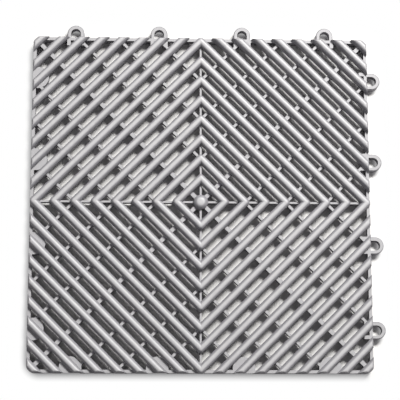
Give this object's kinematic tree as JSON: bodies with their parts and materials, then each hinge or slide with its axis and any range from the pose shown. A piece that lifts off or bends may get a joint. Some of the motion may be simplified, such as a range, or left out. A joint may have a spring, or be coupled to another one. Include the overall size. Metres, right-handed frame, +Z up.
{
  "type": "interlocking floor tile",
  "caption": "Square open-rib plastic floor tile with rounded diamond ribs, link loops on two edges and peg pockets along the other two.",
  "frame": {"origin": "middle of the tile's square body, on the floor, at the foot of the centre post", "axes": "+Z up through the walking surface, +X and +Y out across the two edges that carry the loops"},
  "size_m": [0.416, 0.416, 0.019],
  "materials": {
    "tile_plastic": "satin"
  },
  "bodies": {
    "root": {"floor_tile": "tile_plastic"}
  },
  "joints": []
}
